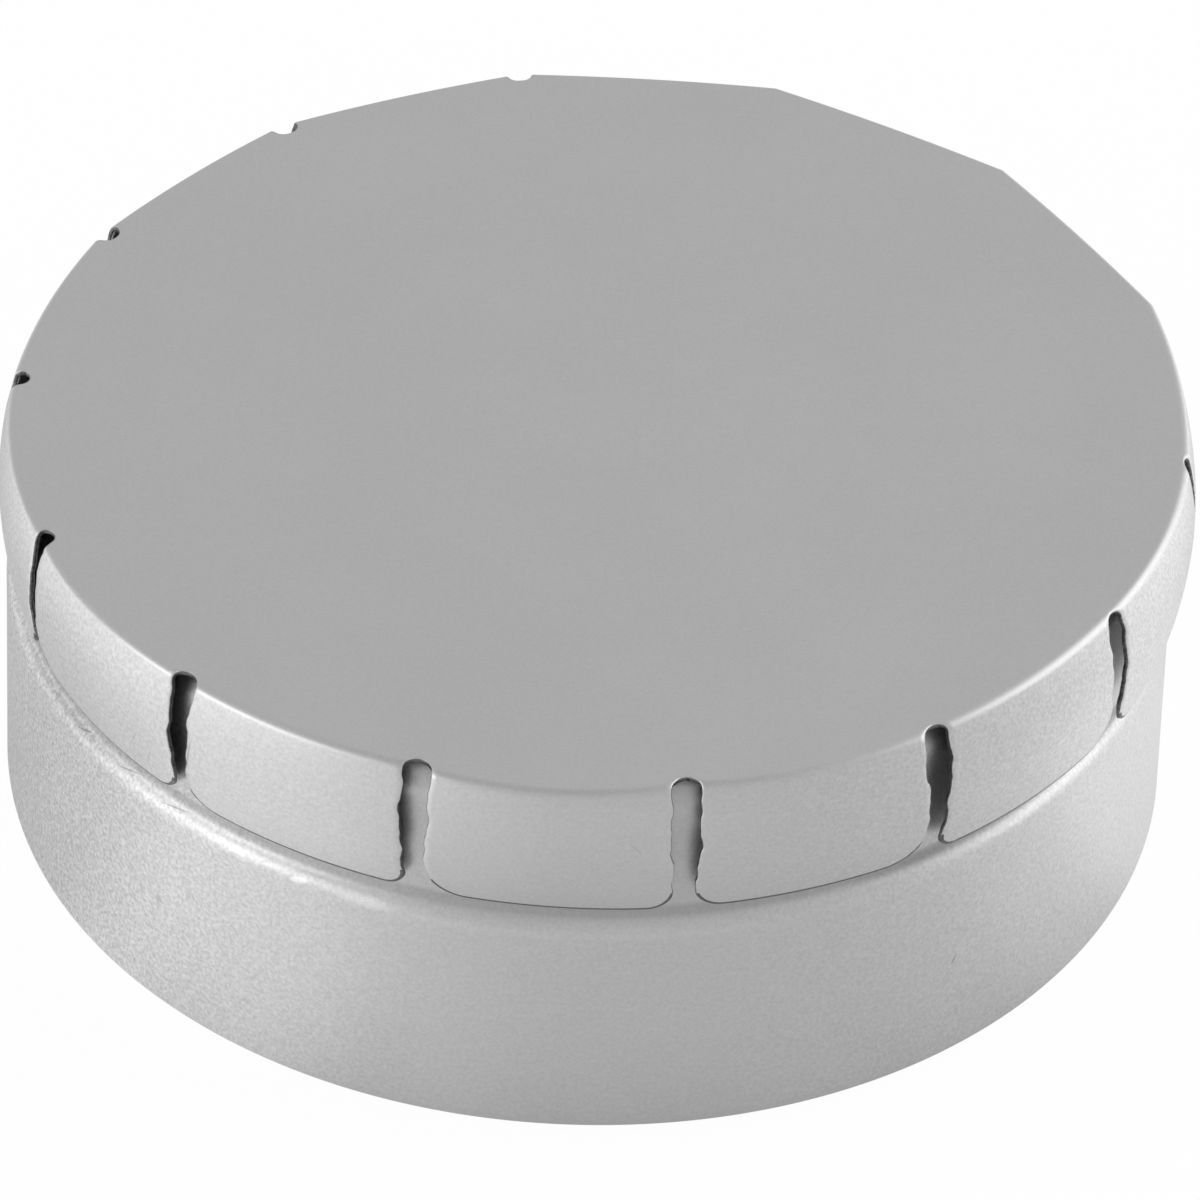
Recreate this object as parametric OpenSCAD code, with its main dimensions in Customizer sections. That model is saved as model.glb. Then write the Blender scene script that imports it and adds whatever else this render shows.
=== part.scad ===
// Round snap-lid mint tin in bare silver tinplate.
// A drawn can with a drawn-in neck and a rolled mouth carries a pressed lid. Fourteen spring tabs
// hang round the neck from the lid's rim, and pressing the lid's domed crown down swings them out.
// Millimetres. +Z is up, and the origin is the centre of the can's underside.
// One tab faces -Y.

/* [Sheet] */
// Thickness of the tinplate
sheet = 0.25; // [0.2:0.01:0.32]

/* [Can] */
// Outer diameter of the can's straight wall
can_d = 46.9; // [36:0.1:70]
// Height of the rolled mouth above the table
can_h = 17.2; // [15.5:0.1:30]
// Outer radius between the bottom and the wall
foot_r = 0.8; // [0.5:0.05:2]
// Outer radius of the shoulder
shoulder_r = 1.2; // [0.8:0.05:1.3]
// Distance that the straight neck stands in from the can's wall
neck_inset = 0.45; // [0.3:0.05:1.5]
// Outer radius of the hollow between the shoulder and the neck
hollow_r = 0.8; // [0.5:0.05:1.2]
// Outer radius of the roll in which the neck ends at the mouth
roll_r = 1.6; // [1.2:0.05:2]

/* [Lid] */
// Height that the crown rises above the flat rim
crown_rise = 0.85; // [0.4:0.05:1.5]
// Height of the tabs, from the flat rim's top to their lower edge
tab_h = 5.95; // [4.5:0.05:6]
// Depth below the rim's top at which the tabs are widest
belly_drop = 1.6; // [1:0.05:2.5]
// Distance that the tabs lean in from their widest line to their lower edge
belly_out = 0.65; // [0.3:0.05:1]
// Outer radius of the fold between the rim and a tab
fold_r = 0.45; // [0.35:0.01:0.8]
// Number of spring tabs
tab_count = 14; // [10:2:18]
// Bow of a side of the rim, as a share of a true circle's bow
bow_share = 0.5; // [0.25:0.05:1]

/* [Slots] */
// Diameter of a slot's round end in the rim
slot_end_d = 1.5; // [1.1:0.05:2]
// Width of a slot just under its round end
slot_top_w = 1.35; // [0.8:0.05:1.4]
// Width of a slot between the lower corners of two tabs
slot_low_w = 0.9; // [0.6:0.05:1.35]
// Radius of a tab's lower corners
tab_corner_r = 1.3; // [0.6:0.05:2]

/* [Clearances] */
// Depth below the tabs' lower edge at which the can's neck starts
neck_drop = 0.35; // [0:0.01:3]
// Height of the lid's rim above the rolled mouth that it rests on
seat_gap = 0.02; // [0.01:0.01:0.1]
// Radial clearance between the tabs' lower edge and the neck
neck_gap = 0.1; // [0.08:0.01:0.4]
// Gap between the rim and the crown
crown_gap = 0.05; // [0.03:0.01:0.1]
// Gap along the fold line between the rim and a tab
fold_gap = 0.05; // [0.03:0.01:0.1]
// Radial room between the pressed crown and the mouth
crown_room = 0.4; // [0.2:0.05:1]

/* [Hidden] */

$fn = 180;
// Facet count for the crown's arc, whose radius is far larger than the tin
wide_fn = 1440;
// Steps along the fold and along the wall of a tab's section
fold_steps = 10;
wall_steps = 14;
// Steps along the can's foot, shoulder and hollow, and along its rolled mouth
can_steps = 5;
roll_steps = 12;
// Overrun of every cut past the face that it leaves
over = 0.5;
// Depth by which a tab's corner arcs pass its lower edge
corner_lap = 0.04;

// Can radii
can_r = can_d / 2;
neck_r = can_r - neck_inset;
mouth_r = neck_r - 2 * roll_r;

// Lid heights
rim_z = can_h + seat_gap;
top_z = rim_z + sheet;
tab_z = top_z - tab_h;
belly_z = top_z - belly_drop;
fold_axis_z = top_z - fold_r;

// The shoulder and the hollow above it are arcs that meet on the line between their axes
neck_z = tab_z - neck_drop;
step_r = shoulder_r + hollow_r;
step_turn = acos(1 - neck_inset / step_r);
// Axes of the arcs along the can's section, as [radius, height]
foot_axis = [can_r - foot_r, foot_r];
hollow_axis = [neck_r + hollow_r, neck_z];
shoulder_axis = hollow_axis - step_r * [cos(step_turn), sin(step_turn)];
roll_axis = [neck_r - roll_r, can_h - roll_r];
// The mouth rolls over the top and ends inside
roll_end_turn = 205;

// The tab's outer face is one arc that is upright at the belly
belly_to_edge = belly_z - tab_z;
wall_arc_r = (belly_to_edge * belly_to_edge + belly_out * belly_out) / (2 * belly_out);
edge_turn = asin(belly_to_edge / wall_arc_r);
wall_axis_r = neck_r + neck_gap - (wall_arc_r - sheet) * cos(edge_turn);
belly_r = wall_axis_r + wall_arc_r;
// The fold is tangent to that arc from the inside
fold_rise = fold_axis_z - belly_z;
fold_axis_r = wall_axis_r + sqrt(pow(wall_arc_r - fold_r, 2) - pow(fold_rise, 2));
fold_turn = atan2(fold_rise, fold_axis_r - wall_axis_r);

// Each side of the rim bows about its own axis, which lies behind the tin's
half_pitch = 180 / tab_count;
bow_back = belly_r * (1 / bow_share - 1);
tab_half_turn = asin(corner_r(belly_r) * sin(half_pitch) / (bow_back + belly_r));
// The slots' round ends are centred where two folds would meet
slot_axis_r = corner_r(fold_axis_r + fold_r);
slot_in_r = fold_axis_r - over;
slot_reach = corner_r(belly_r) - slot_in_r + over;
slot_end_z = fold_axis_z - over;
corner_axis_z = tab_z + tab_corner_r - corner_lap;

crown_r = mouth_r - crown_room;
crown_sphere_r = (crown_r * crown_r + crown_rise * crown_rise) / (2 * crown_rise);

// Distance from the tin's axis to the corner between two bowed sides
function corner_r(mid_r) =
    sqrt(pow(bow_back + mid_r, 2) - pow(bow_back * sin(half_pitch), 2))
    - bow_back * cos(half_pitch);

// Turn of a tab's middle about the tin's axis
function tab_turn(i) = -90 + i * 2 * half_pitch;

// Points along an arc, from the one numbered first to the last
function arc_points(centre, r, from, to, steps, first = 0) =
    [for (i = [first:steps])
        let (turn = from + (to - from) * i / steps)
        centre + r * [cos(turn), sin(turn)]];

// Half section of the can, up its outside to the end of the roll, and back down its inside
module can_section() {
    polygon(concat(
        [[0, 0]],
        arc_points(foot_axis, foot_r, -90, 0, can_steps),
        arc_points(shoulder_axis, shoulder_r, 0, step_turn, can_steps),
        arc_points(hollow_axis, hollow_r, 180 + step_turn, 180, can_steps, 1),
        arc_points(roll_axis, roll_r, 0, roll_end_turn, roll_steps),
        arc_points(roll_axis, roll_r - sheet, roll_end_turn, 0, roll_steps),
        arc_points(hollow_axis, hollow_r + sheet, 180, 180 + step_turn, can_steps),
        arc_points(shoulder_axis, shoulder_r - sheet, step_turn, 0, can_steps, 1),
        arc_points(foot_axis, foot_r - sheet, 0, -90, can_steps),
        [[0, sheet]]
    ));
}

module base_can() {
    color("silver") rotate_extrude() can_section();
}

// Outline of the flat rim: bowed sides that end in a corner at each slot
module rim_outline(mid_r) {
    intersection_for (i = [0:tab_count - 1]) {
        rotate(tab_turn(i)) translate([-bow_back, 0]) circle(r = bow_back + mid_r);
    }
}

// The slots' round ends, as seen from above
module slot_ends() {
    for (i = [0:tab_count - 1]) {
        rotate(tab_turn(i) + half_pitch) translate([slot_axis_r, 0]) circle(d = slot_end_d);
    }
}

module lid_rim() {
    color("lightgray") translate([0, 0, rim_z]) linear_extrude(sheet) difference() {
        rim_outline(fold_axis_r - fold_gap);
        circle(r = crown_r + crown_gap);
        slot_ends();
    }
}

module lid_crown() {
    color("lightgray") translate([0, 0, top_z]) rotate_extrude() intersection() {
        translate([0, crown_rise - crown_sphere_r]) difference() {
            circle(r = crown_sphere_r, $fn = wide_fn);
            circle(r = crown_sphere_r - sheet, $fn = wide_fn);
        }
        translate([0, -over]) square([crown_r, crown_rise + 2 * over]);
    }
}

// Section of a tab through its middle: the fold, then the leaning wall, and back along the inside
module tab_section() {
    fold_axis = [fold_axis_r, fold_axis_z];
    wall_axis = [wall_axis_r, belly_z];
    polygon(concat(
        arc_points(fold_axis, fold_r, 90, fold_turn, fold_steps),
        arc_points(wall_axis, wall_arc_r, fold_turn, -edge_turn, wall_steps, 1),
        arc_points(wall_axis, wall_arc_r - sheet, -edge_turn, fold_turn, wall_steps),
        arc_points(fold_axis, fold_r - sheet, fold_turn, 90, fold_steps, 1)
    ));
}

// Face of a slot, seen from outside, with the tabs' rounded corners at its foot
module slot_face() {
    polygon([
        [-slot_low_w / 2, tab_z - over],
        [slot_low_w / 2, tab_z - over],
        [slot_low_w / 2, corner_axis_z],
        [slot_top_w / 2, slot_end_z],
        [-slot_top_w / 2, slot_end_z],
        [-slot_low_w / 2, corner_axis_z]
    ]);
    for (side = [-1, 1]) scale([side, 1]) difference() {
        translate([0, tab_z - over]) square([slot_low_w / 2 + tab_corner_r, corner_axis_z - tab_z + over]);
        translate([slot_low_w / 2 + tab_corner_r, corner_axis_z]) circle(r = tab_corner_r);
    }
}

// One spring tab, with its fold, between two slots
module tab(i) {
    color("gainsboro") rotate(tab_turn(i)) difference() {
        translate([-bow_back, 0, 0]) rotate(-tab_half_turn) rotate_extrude(angle = 2 * tab_half_turn)
            translate([bow_back, 0]) tab_section();
        for (side = [-1, 1]) rotate(side * half_pitch) {
            translate([slot_in_r, 0, 0]) rotate([90, 0, 90]) linear_extrude(slot_reach) slot_face();
            translate([slot_axis_r, 0, slot_end_z]) cylinder(h = top_z + over - slot_end_z, d = slot_end_d);
        }
    }
}

base_can();
lid_rim();
lid_crown();
tab(0);  // tab_01
tab(1);  // tab_02
tab(2);  // tab_03
tab(3);  // tab_04
tab(4);  // tab_05
tab(5);  // tab_06
tab(6);  // tab_07
tab(7);  // tab_08
tab(8);  // tab_09
tab(9);  // tab_10
tab(10);  // tab_11
tab(11);  // tab_12
tab(12);  // tab_13
tab(13);  // tab_14
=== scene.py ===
import math
from collections import namedtuple

import bmesh
import bpy
import numpy as np
from mathutils import Matrix, Vector


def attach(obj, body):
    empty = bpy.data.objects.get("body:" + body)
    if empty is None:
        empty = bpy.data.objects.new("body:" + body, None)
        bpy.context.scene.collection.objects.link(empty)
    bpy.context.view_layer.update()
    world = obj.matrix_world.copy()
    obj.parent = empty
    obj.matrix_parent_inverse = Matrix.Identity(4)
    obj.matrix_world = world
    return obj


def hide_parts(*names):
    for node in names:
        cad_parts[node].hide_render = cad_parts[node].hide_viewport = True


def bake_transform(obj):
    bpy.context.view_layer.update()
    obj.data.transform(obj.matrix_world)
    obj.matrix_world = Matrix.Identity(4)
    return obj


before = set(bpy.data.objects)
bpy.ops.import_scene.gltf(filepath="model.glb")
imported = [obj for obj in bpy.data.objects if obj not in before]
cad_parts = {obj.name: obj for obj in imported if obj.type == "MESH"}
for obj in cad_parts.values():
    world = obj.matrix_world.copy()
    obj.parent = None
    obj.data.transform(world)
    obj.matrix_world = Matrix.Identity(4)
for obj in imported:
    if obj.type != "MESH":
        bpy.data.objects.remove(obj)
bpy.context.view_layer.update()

MM = 0.001

# Sizes in millimetres, as in the part's solids
SHEET = 0.25
CAN_R, FOOT_R = 23.45, 0.8
SHOULDER_R, HOLLOW_R = 1.2, 0.8
NECK_R, ROLL_R, ROLL_END = 23.0, 1.6, 205.0
CAN_TOP = 17.2
TOP_Z = 17.47
TAB_Z = 11.52
FOLD_R, FOLD_AXIS_R, FOLD_AXIS_Z = 0.45, 23.4932, 17.02
CROWN_R, CROWN_RISE = 19.4, 0.85
TABS = 14
PITCH = 2 * math.pi / TABS
HALF = PITCH / 2

# The can's neck starts this far below the tabs
NECK_DROP = 0.5
NECK_Z = TAB_Z - NECK_DROP

# Facets round each tab's share of the tin
COLUMNS = 48
TURNS = TABS * COLUMNS

# Camera, fitted to the photo's slots, bottom outline and sides
PHOTO_PX, SENSOR_WIDTH = 1200, 36
FOCAL_PX, DISTANCE = 11917.0, 476.0
ELEVATION, ROLL = math.radians(38.17), math.radians(1.99)
CENTRE_X, CENTRE_Y = 593.8, 418.2
SPIN = math.radians(3.467)
CAMERA_SIDE = math.degrees(SPIN) - 90
# The lid sits a little off the can's axis, within its play
LID_AWAY = 0.28 * np.array([math.cos(SPIN), math.sin(SPIN), 0.0])


def heading(turn, high):
    # unit vector by its turn about the tin's axis and its height, both in degrees
    a, e = math.radians(turn), math.radians(high)
    return (math.cos(a) * math.cos(e), math.sin(a) * math.cos(e), math.sin(e))


def add_camera():
    back = Vector((0, -math.cos(ELEVATION), math.sin(ELEVATION)))
    right = Vector((1, 0, 0))
    up = back.cross(right)
    right, up = (math.cos(ROLL) * right + math.sin(ROLL) * up,
                 -math.sin(ROLL) * right + math.cos(ROLL) * up)
    x0 = (CENTRE_X - PHOTO_PX / 2) * DISTANCE / FOCAL_PX
    y0 = -(CENTRE_Y - PHOTO_PX / 2) * DISTANCE / FOCAL_PX
    place = Vector((0, 0, TOP_Z)) + DISTANCE * back - x0 * right - y0 * up
    turn = Matrix.Rotation(SPIN, 3, "Z")
    axes = Matrix((turn @ right, turn @ up, turn @ back)).transposed()
    data = bpy.data.cameras.new("camera")
    data.sensor_fit = "HORIZONTAL"
    data.sensor_width = SENSOR_WIDTH
    data.lens = FOCAL_PX / PHOTO_PX * SENSOR_WIDTH
    data.clip_start, data.clip_end = 0.01, 10
    camera = bpy.data.objects.new("camera", data)
    camera.matrix_world = Matrix.Translation(turn @ place * MM) @ axes.to_4x4()
    bpy.context.scene.collection.objects.link(camera)
    bpy.context.scene.camera = camera


# Small helpers for meshes
def add_piece(name, points, faces, materials, kinds=None):
    mesh = bpy.data.meshes.new(name)
    mesh.from_pydata((np.asarray(points) * MM).tolist(), [], faces)
    for material in materials:
        mesh.materials.append(material)
    if kinds is not None:
        mesh.polygons.foreach_set("material_index", kinds)
    mesh.polygons.foreach_set("use_smooth", [True] * len(mesh.polygons))
    mesh.validate()
    mesh.update()
    piece = bpy.data.objects.new(name, mesh)
    bpy.context.scene.collection.objects.link(piece)
    return piece


def arc(axis, r, start, end, steps, first=0):
    turns = np.radians(np.linspace(start, end, steps + 1))[first:]
    return [(axis[0] + r * math.cos(t), axis[1] + r * math.sin(t)) for t in turns]


def line(a, b, steps):
    return [(a[0] + (b[0] - a[0]) * k / steps, a[1] + (b[1] - a[1]) * k / steps)
            for k in range(1, steps)]


# The can: one lathed sheet, outside and inside
BOTTOM_RADII = (4.0, 8.0, 12.0, 16.0, 20.0, 22.0)


def can_side(thick, bottom_z):
    # the can's section from its bottom up the wall to the end of the roll, set in by thick
    foot = (CAN_R - FOOT_R, FOOT_R)
    step_r = SHOULDER_R + HOLLOW_R
    turn = math.degrees(math.acos(1 - (CAN_R - NECK_R) / step_r))
    hollow = (NECK_R + HOLLOW_R, NECK_Z)
    shoulder = (CAN_R - SHOULDER_R, NECK_Z - step_r * math.sin(math.radians(turn)))
    roll = (NECK_R - ROLL_R, CAN_TOP - ROLL_R)
    path = [(r, bottom_z) for r in BOTTOM_RADII]
    path += arc(foot, FOOT_R - thick, -90, 0, 10)
    path += line((CAN_R - thick, FOOT_R), (CAN_R - thick, shoulder[1]), 10)
    path += arc(shoulder, SHOULDER_R - thick, 0, turn, 12)
    path += arc(hollow, HOLLOW_R + thick, 180 + turn, 180, 8, 1)
    path += line((NECK_R - thick, NECK_Z), (NECK_R - thick, roll[1]), 6)
    path += arc(roll, ROLL_R - thick, 0, ROLL_END, 36)
    return path


def add_can(material):
    ring = np.array(can_side(0, 0.0) + can_side(SHEET, SHEET)[::-1])
    count = len(ring)
    turns = np.arange(TURNS) * 2 * math.pi / TURNS
    points = np.stack([
        np.outer(np.cos(turns), ring[:, 0]),
        np.outer(np.sin(turns), ring[:, 0]),
        np.tile(ring[:, 1], (TURNS, 1)),
    ], axis=2).reshape(-1, 3)
    faces = []
    for i in range(TURNS):
        a, b = i * count, (i + 1) % TURNS * count
        for k in range(count - 1):
            faces.append((a + k, b + k, b + k + 1, a + k + 1))
    low, high = len(points), len(points) + 1
    points = np.vstack([points, [(0, 0, 0), (0, 0, SHEET)]])
    for i in range(TURNS):
        a, b = i * count, (i + 1) % TURNS * count
        faces.append((low, b, a))
        faces.append((high, a + count - 1, b + count - 1))
    piece = add_piece("can_shell", points, faces, [material])
    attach(piece, "can")
    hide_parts("base_can")


# The lid's top: the flat rim and the domed crown in one sheet, up to the seam with the tabs
SEAM_R = 22.3
# Half width of the soft run-out between the dome and the rim
CROWN_SOFT = 1.1
TOP_RADII = np.concatenate([
    np.linspace(1, 17, 17), np.linspace(17.6, 21.2, 19), [21.6, 22.0, SEAM_R]])


def crown_height(r):
    sphere = (CROWN_R ** 2 + CROWN_RISE ** 2) / (2 * CROWN_RISE)
    lift = np.sqrt(sphere ** 2 - np.minimum(r, CROWN_R + CROWN_SOFT) ** 2) - (sphere - CROWN_RISE)
    slope = CROWN_R / sphere
    near = np.clip((CROWN_R + CROWN_SOFT - r) / (2 * CROWN_SOFT), 0, 1)
    run_out = slope * CROWN_SOFT * near ** 2
    return np.where(r < CROWN_R - CROWN_SOFT, lift, run_out)


def add_lid_top(material):
    start = -math.pi / 2 - HALF
    turns = start + np.arange(TURNS) * 2 * math.pi / TURNS
    heights = TOP_Z + crown_height(TOP_RADII)
    points = [(0, 0, TOP_Z + float(crown_height(np.array([0.0]))[0]))]
    for t in turns:
        points += [(r * math.cos(t), r * math.sin(t), z) for r, z in zip(TOP_RADII, heights)]
    count = len(TOP_RADII)
    faces = []
    for i in range(TURNS):
        a, b = 1 + i * count, 1 + (i + 1) % TURNS * count
        faces.append((0, a, b))
        for k in range(count - 1):
            faces.append((a + k, a + k + 1, b + k + 1, b + k))
    piece = add_piece("lid_top", np.array(points) + LID_AWAY, faces, [material])
    thick = piece.modifiers.new("sheet", "SOLIDIFY")
    thick.thickness = SHEET * MM
    thick.offset = -1
    thick.use_rim = False
    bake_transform(piece)
    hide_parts("lid_rim", "lid_crown")


# The spring tabs, each a sheet that runs from the seam over the fold to its foot
# Slots by place, anticlockwise from the one right of tab_01: half widths at the top and at the
# foot, corner radius of the tab before and after the slot, the head's radius, its reach into the
# flat rim, and the fold's radius there
Slot = namedtuple("Slot", "top low before_r after_r head_r reach fold_r")
SLOTS = [
    Slot(0.66, 0.53, 0.95, 1.15, 0.66, 0.18, 23.28),
    Slot(0.66, 0.42, 1.75, 0.70, 0.62, 0.02, 23.29),
    Slot(0.66, 0.44, 1.20, 1.20, 0.55, -0.22, 23.30),
    Slot(0.50, 0.40, 1.30, 1.30, 0.50, -0.15, 23.47),
    Slot(0.60, 0.45, 1.30, 1.30, 0.60, -0.50, 23.94),
    Slot(0.60, 0.45, 1.30, 1.30, 0.60, -0.50, 24.15),
    Slot(0.60, 0.45, 1.30, 1.30, 0.60, -0.40, 24.12),
    Slot(0.60, 0.45, 1.30, 1.30, 0.55, 0.30, 23.84),
    Slot(0.60, 0.45, 1.30, 1.30, 0.60, 0.45, 23.60),
    Slot(0.60, 0.45, 1.30, 1.30, 0.60, 0.40, 23.48),
    Slot(0.50, 0.40, 1.30, 1.30, 0.50, 0.35, 23.55),
    Slot(0.44, 0.40, 1.20, 1.20, 0.52, 0.25, 23.56),
    Slot(0.60, 0.42, 1.10, 1.20, 0.66, 0.12, 23.55),
    Slot(0.64, 0.52, 0.75, 1.60, 0.66, 0.22, 23.40),
]
# The fold's radius at each tab's middle
MIDDLES = [
    23.68, 23.42, 23.22, 23.42, 23.52, 23.57, 23.66,
    23.54, 23.32, 23.20, 23.37, 23.60, 23.68, 23.46,
]
# The foot's radius, and how far each foot is sprung out of its round
FOOT_EDGE_R = 23.46
FLARES = [0, 0, 0, 0.10, 0.08, 0.05, 0, 0, 0.03, 0.08, 0.12, 0.12, 0.08, 0]
# The widest line's radius where the fold's is the even one, and its share in the fold's changes
BELLY_R, EVEN_FOLD_R, BELLY_SHARE = 23.97, 23.5, 0.6
# From the fold's seen line in to its axis, and the lengths of the flat, the fold and the wall
FOLD_MID = 0.32
FLAT = 23.2 - SEAM_R
FOLD = FOLD_R * math.radians(78)
WALL = 5.75
# Angles between which the wall's arc starts, in radians, and how often that span is halved
START_TURNS, HALVINGS = (0.03, 0.9), 40
# Waves of a slot's burred edge, as length and height
RIPPLES = ((2.9, 0.05), (1.5, 0.035), (0.8, 0.018), (0.4, 0.006))
FIRST_SEED = 100
# A slot's side widens between these heights, and its burr fades out between these
WIDEN_Z, WIDEN_HIGH, WIDEN_POWER = 12.6, 3.4, 0.8
BURR_Z, BURR_HIGH = 12.2, 0.8
# Run over which a slot's head passes into its sides
HEAD_BLEND = 0.7
# Share of the wall below which the rows draw together towards the foot
WALL_SHARE = 0.76
# Rows closer together than this are one row
ROW_GAP = 2e-3
# The lip of the cut edge at the slots, what the sheared foot adds, and the height that it fades in
SLOT_LIP, FOOT_LIP = 0.06, 0.08
FOOT_HIGH, FOOT_FADE = 1.0, 0.4
# The lip's way in from the face, how much less it is at the foot, and the bulge between the faces
LIP_TILT, FOOT_FLATTER, LIP_BULGE = 0.6, 0.45, 1.35


def fold_radius(i, turn):
    # of the fold's middle line: a chord from corner to corner with a soft bulge
    left, right = SLOTS[i - 1].fold_r, SLOTS[i].fold_r
    share = (turn + HALF) / (2 * HALF)
    chord = math.cos(HALF) / np.cos(turn)
    bulge = MIDDLES[i] - (left + right) / 2 * math.cos(HALF)
    return (left + (right - left) * share) * chord + bulge * (1 - (turn / HALF) ** 2)


def wall_arc(axis_r, belly_r, foot_r):
    # start angle, radius, centre and end angle of the arc from the fold's end over the belly to the
    # foot. The start is found by halving: a larger one puts the foot higher
    low, high = (np.full_like(axis_r, turn) for turn in START_TURNS)
    for _ in range(HALVINGS):
        start = (low + high) / 2
        arc_r = (belly_r - axis_r - FOLD_R * np.cos(start)) / (1 - np.cos(start))
        centre_z = FOLD_AXIS_Z + (FOLD_R - arc_r) * np.sin(start)
        end = np.arccos(np.clip(1 - (belly_r - foot_r) / arc_r, -1, 1))
        short = centre_z - arc_r * np.sin(end) > TAB_Z
        high = np.where(short, start, high)
        low = np.where(short, low, start)
    return start, arc_r, belly_r - arc_r, centre_z, end


def skin_point(i, turn, way):
    # a point of the tab's outer face, by its turn from the tab's middle and its way from the seam
    turn, way = np.broadcast_arrays(np.asarray(turn, float), np.asarray(way, float))
    spots = np.linspace(-HALF - 0.01, HALF + 0.01, 161)
    fold_r = fold_radius(i, spots)
    belly = BELLY_R + BELLY_SHARE * (fold_r - EVEN_FOLD_R)
    tables = (fold_r - FOLD_MID,) + wall_arc(fold_r - FOLD_MID, belly, FOOT_EDGE_R + FLARES[i])
    axis_r, start, arc_r, centre_r, centre_z, end = (np.interp(turn, spots, t) for t in tables)
    fold_end = FOLD_R * (math.pi / 2 - start)
    flat = np.clip(way / FLAT, 0, 1)
    in_fold = np.clip((way - FLAT) / FOLD, 0, 1) * fold_end
    down = np.clip((way - FLAT - FOLD) / WALL, 0, 1)
    bend = math.pi / 2 - in_fold / FOLD_R
    slope = start + (-end - start) * down
    in_wall = way > FLAT + FOLD
    radius = np.where(in_wall, centre_r + arc_r * np.cos(slope), axis_r + FOLD_R * np.cos(bend))
    z = np.where(in_wall, centre_z + arc_r * np.sin(slope), FOLD_AXIS_Z + FOLD_R * np.sin(bend))
    radius = np.where(way < FLAT, SEAM_R + (axis_r - SEAM_R) * flat, radius)
    return np.stack([radius * np.cos(turn), radius * np.sin(turn), z], axis=-1)


def skin_normal(i, turn, way):
    step = 1e-3
    across = skin_point(i, turn + step / 20, way) - skin_point(i, turn - step / 20, way)
    down = skin_point(i, turn, way + step) - skin_point(i, turn, np.maximum(way - step, 0))
    normal = np.cross(down, across)
    return normal / np.linalg.norm(normal, axis=-1, keepdims=True)


def ripple(way, seed):
    own = np.random.default_rng(seed)
    out = np.zeros_like(way)
    for length, high in RIPPLES:
        out += high * np.sin(2 * math.pi * (way / length + own.random()))
    return out


def flat_stretch(slot):
    # true length along the flat rim beside a slot for each unit of way
    return (slot.fold_r - FOLD_MID - SEAM_R) / FLAT


def head_ways(slot):
    # ways of the rows that draw a slot's round head
    runs = slot.head_r * (1 - np.cos(np.linspace(0, math.pi / 2, 9))) - slot.reach
    return FLAT + np.where(runs < 0, runs / flat_stretch(slot), runs)


def slot_half_width(way, z, slot, corner_r, seed):
    # half width of the slot beside a tab, from its head to the tab's rounded corner
    run = np.where(way < FLAT, (way - FLAT) * flat_stretch(slot), way - FLAT) + slot.reach
    head = np.sqrt(np.clip(slot.head_r ** 2 - np.clip(slot.head_r - run, 0, None) ** 2, 0, None))
    head = np.where(run <= 1e-9, 0, head)
    wider = np.clip((z - WIDEN_Z) / WIDEN_HIGH, 0, 1) ** WIDEN_POWER
    straight = slot.low + (slot.top - slot.low) * wider
    straight = straight + np.clip((z - BURR_Z) / BURR_HIGH, 0, 1) * ripple(way, seed)
    sweep = np.clip((TAB_Z + corner_r - z) / corner_r, 0, 1)
    straight = straight + corner_r * (1 - np.sqrt(1 - sweep ** 2))
    past = np.clip((run - slot.head_r) / HEAD_BLEND, 0, 1)
    past = past * past * (3 - 2 * past)
    return head * (1 - past) + straight * past


def tab_ways(i):
    # ways of a tab's rows, closer together round the slots' heads, in the fold and at the foot
    to_foot = np.sin(np.linspace(0, math.pi / 2, 18)[1:])
    ways = np.sort(np.concatenate([
        np.linspace(0, FLAT, 5), head_ways(SLOTS[i - 1]), head_ways(SLOTS[i]),
        FLAT + FOLD * np.linspace(0, 1, 15)[1:],
        FLAT + FOLD + WALL * np.linspace(0, WALL_SHARE, 52)[1:],
        FLAT + FOLD + WALL * (WALL_SHARE + (1 - WALL_SHARE) * to_foot),
    ]))
    return ways[np.concatenate([[True], np.diff(ways) > ROW_GAP])]


def tab_sides(i, ways):
    # turn from the tab's middle to its left and right side in each row, and each side's first row
    z = skin_point(i, np.zeros(len(ways)), ways)[:, 2]
    sides, firsts = [], []
    for side, place in ((-1, (i - 1) % TABS), (1, i)):
        slot = SLOTS[place]
        corner_r = slot.after_r if side < 0 else slot.before_r
        half = slot_half_width(ways, z, slot, corner_r, FIRST_SEED + 2 * place + (side > 0))
        turn = np.full(len(ways), HALF)
        for _ in range(3):
            here = skin_point(i, side * turn, ways)
            radius = np.hypot(here[:, 0], here[:, 1])
            turn = HALF - np.arcsin(np.clip(half / radius, 0, 1))
        sides.append(turn)
        firsts.append(max(0, int(np.argmax(half > 0)) - 1))
    return sides, firsts


def cut_edge_lips(run, faced, at, middle):
    # three lines of points round the cut edge of a run, which at one row is outside of the middle's
    # point, and the share of the foot's burr at each point
    out = np.cross(faced, np.gradient(run, axis=0))
    out /= np.linalg.norm(out, axis=1, keepdims=True) + 1e-12
    if np.dot(out[at], run[at] - middle) < 0:
        out = -out
    # the sheared foot has a wider and flatter burr than the slots' edges, whose dark edge colour
    # paints the shadow line under the tab
    low = np.clip((TAB_Z + FOOT_HIGH - run[:, 2:]) / FOOT_FADE, 0, 1)
    lip = SLOT_LIP + FOOT_LIP * low
    lips = [run + lip * out - (LIP_TILT - FOOT_FLATTER * low) * lip * faced,
            run + LIP_BULGE * lip * out - 0.5 * SHEET * faced,
            run + lip * out - (SHEET - LIP_TILT * lip) * faced]
    return lips, low[:, 0]


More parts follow.
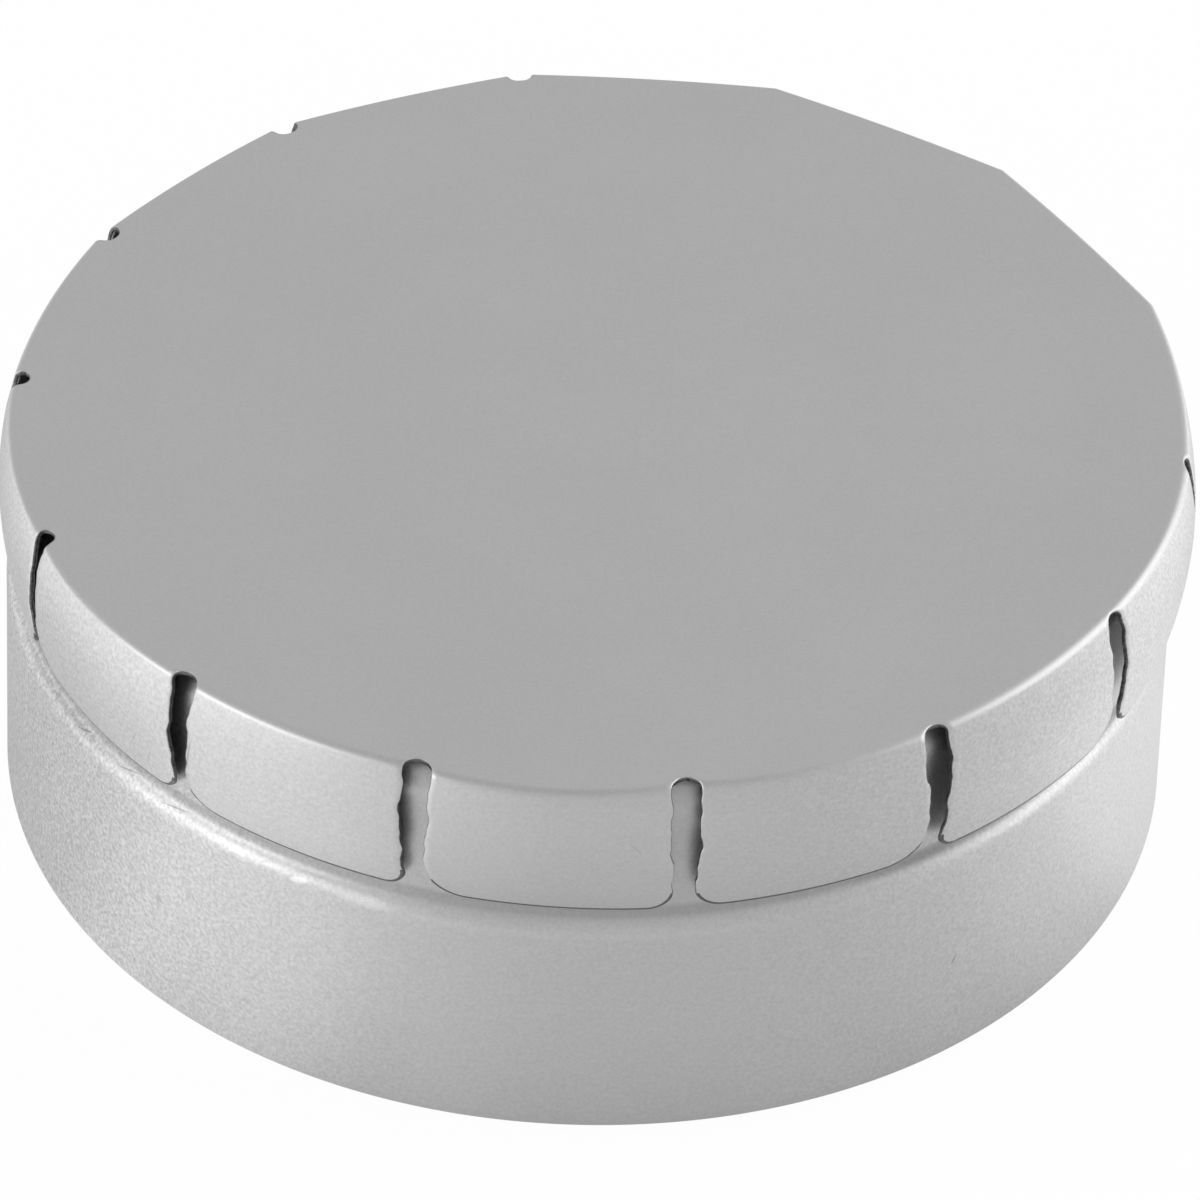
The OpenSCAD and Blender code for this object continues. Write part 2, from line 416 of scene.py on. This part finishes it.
def tab_mesh(i):
    ways = tab_ways(i)
    (left, right), firsts = tab_sides(i, ways)
    rows, wide = len(ways), COLUMNS + 1
    shares = np.linspace(0, 1, wide)
    turns = -left[:, None] + (left + right)[:, None] * shares[None, :]
    grid = np.broadcast_to(ways[:, None], turns.shape)
    outer = skin_point(i, turns, grid)
    normal = skin_normal(i, turns, grid)
    inner = outer - SHEET * normal

    # faces of kind 0 are skin and those of kind 1 are cut edge, whose dark tone is partly the raw
    # edge and partly painted shade
    faces, kinds = [], []
    for r in range(rows - 1):
        for c in range(COLUMNS):
            a = r * wide + c
            b = a + rows * wide
            faces.append((a, a + wide, a + wide + 1, a + 1))
            faces.append((b, b + 1, b + wide + 1, b + wide))
            kinds += [0, 0]

    # the cut edge: down the left side from the slot's head, along the foot, and up the right side
    path = [(r, 0) for r in range(firsts[0], rows)]
    path += [(rows - 1, c) for c in range(1, wide)]
    path += [(r, COLUMNS) for r in range(rows - 2, firsts[1] - 1, -1)]
    run = np.array([outer[r, c] for r, c in path])
    faced = np.array([normal[r, c] for r, c in path])
    lips, low = cut_edge_lips(run, faced, rows // 2, outer[rows // 2, COLUMNS // 2])
    layers = [[r * wide + c for r, c in path]]
    layers += [list(range(start, start + len(path)))
               for start in 2 * rows * wide + len(path) * np.arange(3)]
    layers.append([rows * wide + r * wide + c for r, c in path])
    for k in range(len(path) - 1):
        for n, (near, far) in enumerate(zip(layers, layers[1:])):
            faces.append((near[k], far[k], far[k + 1], near[k + 1]))
            # at the foot the lip's outer face takes the cut edge's dark colour as well: a painted
            # shadow line under the tab
            kinds.append(0 if n == 3 or (n == 0 and low[k] < 0.5) else 1)
    points = np.concatenate([outer.reshape(-1, 3), inner.reshape(-1, 3)] + lips)
    return points, faces, kinds


def add_tab(i, skin, edge):
    points, faces, kinds = tab_mesh(i)
    turn = -math.pi / 2 + i * PITCH
    spin = np.array([
        [math.cos(turn), -math.sin(turn), 0],
        [math.sin(turn), math.cos(turn), 0],
        [0, 0, 1],
    ])
    name = "tab_%02d" % (i + 1)
    piece = add_piece("spring_" + name, points @ spin.T + LID_AWAY, faces, [skin, edge], kinds)
    work = bmesh.new()
    work.from_mesh(piece.data)
    bmesh.ops.remove_doubles(work, verts=work.verts, dist=1e-9)
    bmesh.ops.recalc_face_normals(work, faces=work.faces)
    work.to_mesh(piece.data)
    work.free()
    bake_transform(piece)
    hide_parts(name)


# Small helpers for shader nodes
def nodes_of(owner):
    # the emptied node tree of a material or a world
    owner.use_nodes = True
    tree = owner.node_tree
    tree.nodes.clear()
    return tree


def add_node(tree, kind, **inputs):
    node = tree.nodes.new(kind)
    for key, value in inputs.items():
        if key.startswith("set_"):
            setattr(node, key[4:], value)
        else:
            node.inputs[key.replace("_", " ")].default_value = value
    return node


def mapped(tree, source, low, high, to_low, to_high, kind="LINEAR"):
    node = tree.nodes.new("ShaderNodeMapRange")
    node.interpolation_type = kind
    sockets = ("From Min", "From Max", "To Min", "To Max")
    for key, value in zip(sockets, (low, high, to_low, to_high)):
        node.inputs[key].default_value = value
    tree.links.new(source, node.inputs["Value"])
    return node.outputs["Result"]


def maths(tree, operation, a, b):
    node = tree.nodes.new("ShaderNodeMath")
    node.operation = operation
    for socket, value in zip(node.inputs, (a, b)):
        if isinstance(value, (int, float)):
            socket.default_value = value
        else:
            tree.links.new(value, socket)
    return node.outputs[0]


def grey(tree, value):
    node = tree.nodes.new("ShaderNodeCombineColor")
    for socket in node.inputs:
        tree.links.new(value, socket)
    return node.outputs[0]


def along(tree, vector, turn, high=0):
    # how far a vector reaches towards a heading
    node = tree.nodes.new("ShaderNodeVectorMath")
    node.operation = "DOT_PRODUCT"
    tree.links.new(vector, node.inputs[0])
    node.inputs[1].default_value = heading(turn, high)
    return node.outputs["Value"]


def length_of(tree, vector):
    node = tree.nodes.new("ShaderNodeVectorMath")
    node.operation = "LENGTH"
    tree.links.new(vector, node.inputs[0])
    return node.outputs["Value"]


def ramp(tree, source, stops):
    node = tree.nodes.new("ShaderNodeValToRGB")
    node.color_ramp.interpolation = "EASE"
    marks = node.color_ramp.elements
    while len(marks) < len(stops):
        marks.new(0.5)
    for mark, (place, tone) in zip(marks, stops):
        mark.position = place
        mark.color = (tone, tone, tone, 1)
    tree.links.new(source, node.inputs[0])
    return node.outputs["Color"]


def noise(tree, where, scale, detail=2.0, rough=0.5):
    node = add_node(tree, "ShaderNodeTexNoise", Scale=scale, Detail=detail, Roughness=rough)
    tree.links.new(where, node.inputs["Vector"])
    return node.outputs["Fac"]


def spread(tree, source, low, high):
    # a noise, whose values lie mostly between these two, spread from low to high
    return mapped(tree, source, 0.3, 0.7, low, high)


# Tinplate: a satin metal with a fine grain, blotches, and listed marks, among them painted shade
# and painted glints on the can
CLOUD_SCALE, FINE_SCALE, BLOTCH_SCALE = 130, 9000, 6500
BUMP_STRENGTH, BUMP_DEEP = 0.5, 0.00001
# How far the cloudy noise moves both tone and roughness, and the fine noise each of them
CLOUD_SWING, TONE_SWING, ROUGH_SWING = 0.01, 0.03, 0.04
# The blotches show less in front than at the tin's sides, and not on the lid's top
FRONT_SHARE, FRONT_X, SIDE_X = 0.25, 5, 21
TOP_FADE = (17.1, 17.4)
# Heights between which the can's tone changes, and by how much: painted shade, darkest in the
# hollow under
# # the tabs and a little less on the neck behind them
CAN_PAINTED_SHADE = ((NECK_Z - 0.55, NECK_Z - 0.2, 0.68), (NECK_Z, NECK_Z + 0.35, 1.29))
# Marks and painted light: degrees from the camera's side, radius, height, roll, half sizes,
# darkening, which lightens where it is below zero
CAN_MARKS_AND_PAINTED_LIGHT = (
    # specks
    (-44.7, 23.45, 5.6, 0, (0.26, 0.24), 0.20), (39.5, 23.45, 5.1, 55, (0.30, 0.05), 0.45),
    (-33.5, 23.45, 3.0, 20, (0.16, 0.10), 0.18),
    # scratches on the shoulder
    (-50.0, 23.3, 10.6, 12, (0.9, 0.03), 0.45), (-43.0, 23.3, 10.5, 8, (1.2, 0.03), 0.35),
    (-58.0, 23.3, 10.5, 15, (0.7, 0.04), 0.40),
    # painted shade on the shoulder below the tabs' feet
    (42.0, 23.2, 10.80, 0, (7.5, 0.45), 0.22), (65.0, 23.2, 10.80, 0, (5.5, 0.40), 0.25),
    (-63.0, 23.3, 10.25, 0, (6.0, 0.50), 0.09),
    # painted glints on the shoulder's ridge
    (-27.6, 23.3, 10.15, 10, (0.50, 0.16), -0.30), (-20.5, 23.3, 10.15, 0, (1.5, 0.28), -0.18),
    (-35.0, 23.3, 10.2, 0, (1.8, 0.28), -0.08),
)
LID_MARKS = (
    (5.3, 23.9, 14.9, -47, (0.45, 0.03), 0.22), (-47.5, 23.8, 13.3, 62, (0.9, 0.025), 0.25),
    (-45.5, 23.8, 12.9, 68, (0.8, 0.025), 0.22), (-40.0, 23.8, 14.3, 80, (0.9, 0.05), 0.30),
)
# Depth of a mark through the sheet
MARK_DEEP = 2.0


def blotch_share(tree, where, high, uneven):
    # how strongly the blotches show, by the place on the tin, and uneven by this share
    aside = along(tree, where, math.degrees(SPIN))
    off_front = maths(tree, "ABSOLUTE", aside, 0.0)
    share = mapped(tree, off_front, FRONT_X * MM, SIDE_X * MM, FRONT_SHARE, 1.0)
    if uneven:
        tilt = mapped(tree, aside, -SIDE_X * MM, SIDE_X * MM, 1.0 + uneven, 1.0 - uneven)
        share = maths(tree, "MULTIPLY", share, tilt)
    below = mapped(tree, high, TOP_FADE[0] * MM, TOP_FADE[1] * MM, 1.0, 0.0)
    return maths(tree, "MULTIPLY", share, below)


def marked(tree, where, value, marks):
    # value, darkened in the soft oval of each mark, or lightened where the darkening is below zero
    for turn, away, high, roll, wide, dark in marks:
        x, y, _ = heading(CAMERA_SIDE + turn, 0)
        spot = tree.nodes.new("ShaderNodeMapping")
        spot.vector_type = "TEXTURE"
        spot.inputs["Location"].default_value = (away * MM * x, away * MM * y, high * MM)
        spot.inputs["Rotation"].default_value = (math.radians(roll), 0, math.atan2(y, x))
        spot.inputs["Scale"].default_value = [v * MM for v in (MARK_DEEP, *wide)]
        tree.links.new(where, spot.inputs["Vector"])
        apart = length_of(tree, spot.outputs["Vector"])
        value = maths(tree, "MULTIPLY", value, mapped(tree, apart, 0.4, 1.0, 1 - dark, 1.0))
    return value


def tinplate(name, tone, rough, grain, mottle, uneven=0.0, painted_shades=(), marks=()):
    material = bpy.data.materials.new(name)
    tree = nodes_of(material)
    where = tree.nodes.new("ShaderNodeTexCoord").outputs["Object"]
    split = tree.nodes.new("ShaderNodeSeparateXYZ")
    tree.links.new(where, split.inputs[0])
    high = split.outputs["Z"]
    shader = add_node(tree, "ShaderNodeBsdfPrincipled", Metallic=1.0)
    out = tree.nodes.new("ShaderNodeOutputMaterial")
    tree.links.new(shader.outputs[0], out.inputs["Surface"])

    cloud = noise(tree, where, CLOUD_SCALE, 3, 0.55)
    fine = noise(tree, where, FINE_SCALE, 2, 0.6)
    blotch = noise(tree, where, BLOTCH_SCALE, 2, 0.55)
    blotches = maths(tree, "MULTIPLY", spread(tree, blotch, -mottle, mottle),
                     blotch_share(tree, where, high, uneven))

    value = maths(tree, "ADD", spread(tree, cloud, tone - CLOUD_SWING, tone + CLOUD_SWING),
                  spread(tree, fine, -TONE_SWING, TONE_SWING))
    value = maths(tree, "ADD", value, blotches)
    # painted shade: the tone is multiplied down by each share between its two heights
    for low_z, high_z, share in painted_shades:
        shade = mapped(tree, high, low_z * MM, high_z * MM, 1.0, share, "SMOOTHSTEP")
        value = maths(tree, "MULTIPLY", value, shade)
    value = marked(tree, where, value, marks)
    tree.links.new(grey(tree, value), shader.inputs["Base Color"])

    roughness = maths(tree, "ADD", spread(tree, cloud, rough - CLOUD_SWING, rough + CLOUD_SWING),
                      spread(tree, fine, -ROUGH_SWING, ROUGH_SWING))
    tree.links.new(roughness, shader.inputs["Roughness"])

    bump = add_node(tree, "ShaderNodeBump", Strength=BUMP_STRENGTH, Distance=BUMP_DEEP)
    tree.links.new(maths(tree, "MULTIPLY", blotch, grain), bump.inputs["Height"])
    tree.links.new(bump.outputs["Normal"], shader.inputs["Normal"])
    return material


# Floor as the metal sees it, near the can and far out: painted pools of light and painted shade, as
# shares of white
# # by degrees from the camera's side
NEAR_SEEN = (
    (-180, 0.45), (-125, 0.50), (-91, 0.62), (-71, 0.70), (-53, 0.88), (-38, 0.81), (-18, 0.59),
    (0, 0.51), (13, 0.50), (32, 0.52), (47, 0.57), (63, 0.70), (79, 0.95), (95, 0.96), (130, 0.58),
    (180, 0.45),
)
FAR_SEEN = (
    (-180, 0.45), (-130, 0.75), (-103, 1.05), (-87, 1.03), (-65, 1.05), (-47, 0.86), (-25, 0.67),
    (-5, 0.57), (35, 0.54), (58, 0.58), (75, 0.66), (95, 1.00), (115, 1.25), (145, 1.00),
    (180, 0.45),
)
NEAR_R, FAR_R, RAMP_TOP = 32.0, 62.0, 1.5
# Contact shade right beside the tin
CONTACT_R, CONTACT_SHARE = 30.0, 0.84
# The floor's own diffuse tones and their noise, the white that rays from the camera and the metal
# see, and its share
FLOOR_TONES, FLOOR_SCALE = (0.80, 0.82), 900
WHITE, WHITE_SHARE = 1.04, 0.92
FLOOR_R = 1.5


def floor_tone(tree, where):
    # what the metal sees of the floor, by direction and distance: painted light and shade
    side, front = along(tree, where, CAMERA_SIDE + 90), along(tree, where, CAMERA_SIDE)
    turned = mapped(tree, maths(tree, "ARCTAN2", side, front), -math.pi, math.pi, 0.0, 1.0)
    apart = length_of(tree, where)
    far = mapped(tree, apart, NEAR_R * MM, FAR_R * MM, 0.0, 1.0, "SMOOTHSTEP")
    contact = mapped(tree, apart, CAN_R * MM, CONTACT_R * MM, CONTACT_SHARE, 1.0)
    near_ramp, far_ramp = (
        ramp(tree, turned, [((turn + 180) / 360, share / RAMP_TOP) for turn, share in seen])
        for seen in (NEAR_SEEN, FAR_SEEN))
    lit = maths(tree, "ADD", maths(tree, "MULTIPLY", near_ramp, maths(tree, "SUBTRACT", 1.0, far)),
                maths(tree, "MULTIPLY", far_ramp, far))
    return maths(tree, "MULTIPLY", maths(tree, "MULTIPLY", lit, RAMP_TOP), contact)


def floor_material():
    material = bpy.data.materials.new("pale_floor")
    tree = nodes_of(material)
    where = tree.nodes.new("ShaderNodeTexCoord").outputs["Object"]
    pale = add_node(tree, "ShaderNodeBsdfPrincipled", Roughness=0.85)
    value = spread(tree, noise(tree, where, FLOOR_SCALE, 3), *FLOOR_TONES)
    tree.links.new(grey(tree, value), pale.inputs["Base Color"])
    rays = tree.nodes.new("ShaderNodeLightPath").outputs
    white = add_node(tree, "ShaderNodeEmission", Strength=WHITE)
    tone = maths(tree, "MAXIMUM", floor_tone(tree, where), rays["Is Camera Ray"])
    tree.links.new(tone, white.inputs["Color"])
    straight = maths(tree, "ADD", rays["Is Camera Ray"], rays["Is Glossy Ray"])
    straight = maths(tree, "ADD", straight, rays["Is Transmission Ray"])
    mix = tree.nodes.new("ShaderNodeMixShader")
    tree.links.new(maths(tree, "MULTIPLY", straight, WHITE_SHARE), mix.inputs[0])
    tree.links.new(pale.outputs[0], mix.inputs[1])
    tree.links.new(white.outputs[0], mix.inputs[2])
    out = tree.nodes.new("ShaderNodeOutputMaterial")
    tree.links.new(mix.outputs[0], out.inputs["Surface"])
    return material


def add_floor():
    mesh = bpy.data.meshes.new("floor")
    work = bmesh.new()
    bmesh.ops.create_circle(work, cap_ends=True, segments=96, radius=FLOOR_R)
    work.to_mesh(mesh)
    work.free()
    mesh.materials.append(floor_material())
    floor = bpy.data.objects.new("floor", mesh)
    bpy.context.scene.collection.objects.link(floor)


# Light: an even grey room with a soft bright window on each side
GREY_ROOM = 0.515
Window = namedtuple("Window", "turn inner outer full end bright")
# half widths inside and out, height at which it starts to fade and at which it ends, brightness
WINDOWS = (Window(207, 15, 27, 11, 36, 1.3), Window(18, 22, 34, 30, 56, 0.9))
# The front of the ceiling is a little dimmer
DIM_HIGH, DIM_INNER, DIM_OUTER, DIM = 68, 15, 42, -0.09


def cosine(degrees):
    return math.cos(math.radians(degrees))


def sine(degrees):
    return math.sin(math.radians(degrees))


def add_light():
    world = bpy.data.worlds.new("studio")
    bpy.context.scene.world = world
    tree = nodes_of(world)
    way = tree.nodes.new("ShaderNodeTexCoord").outputs["Generated"]
    split = tree.nodes.new("ShaderNodeSeparateXYZ")
    tree.links.new(way, split.inputs[0])
    level = tree.nodes.new("ShaderNodeVectorMath")
    level.operation = "MULTIPLY"
    tree.links.new(way, level.inputs[0])
    level.inputs[1].default_value = (1, 1, 0)
    unit = tree.nodes.new("ShaderNodeVectorMath")
    unit.operation = "NORMALIZE"
    tree.links.new(level.outputs["Vector"], unit.inputs[0])
    windows = 0.0
    for w in WINDOWS:
        towards = along(tree, unit.outputs["Vector"], w.turn)
        wide = mapped(tree, towards, cosine(w.outer), cosine(w.inner), 0.0, w.bright, "SMOOTHSTEP")
        low = mapped(tree, split.outputs["Z"], sine(w.end), sine(w.full), 0.0, 1.0, "SMOOTHSTEP")
        windows = maths(tree, "ADD", windows, maths(tree, "MULTIPLY", wide, low))
    ceiling = mapped(tree, along(tree, way, CAMERA_SIDE, DIM_HIGH), cosine(DIM_OUTER),
                     cosine(DIM_INNER), GREY_ROOM, GREY_ROOM + DIM, "SMOOTHSTEP")
    glow = add_node(tree, "ShaderNodeBackground", Strength=1.0)
    tree.links.new(maths(tree, "ADD", ceiling, windows), glow.inputs["Color"])
    out = tree.nodes.new("ShaderNodeOutputWorld")
    tree.links.new(glow.outputs[0], out.inputs["Surface"])


add_camera()
can_skin = tinplate("can_tinplate_satin", tone=0.78, rough=0.38, grain=0.5, mottle=0.14,
                    uneven=0.4, painted_shades=CAN_PAINTED_SHADE, marks=CAN_MARKS_AND_PAINTED_LIGHT)
lid_skin = tinplate("lid_tinplate_satin", tone=0.78, rough=0.38, grain=0.5, mottle=0.11,
                    marks=LID_MARKS)
# the cut edge's dark tone: raw steel, and painted shade in the slots and under the tabs' feet
cut_edge_and_painted_shade = tinplate("lid_cut_edge_and_painted_shade", tone=0.22, rough=0.5, grain=1.0, mottle=0.12)
add_can(can_skin)
add_lid_top(lid_skin)
for i in range(TABS):
    add_tab(i, lid_skin, cut_edge_and_painted_shade)
add_floor()
add_light()
bpy.context.scene.view_settings.view_transform = "Standard"
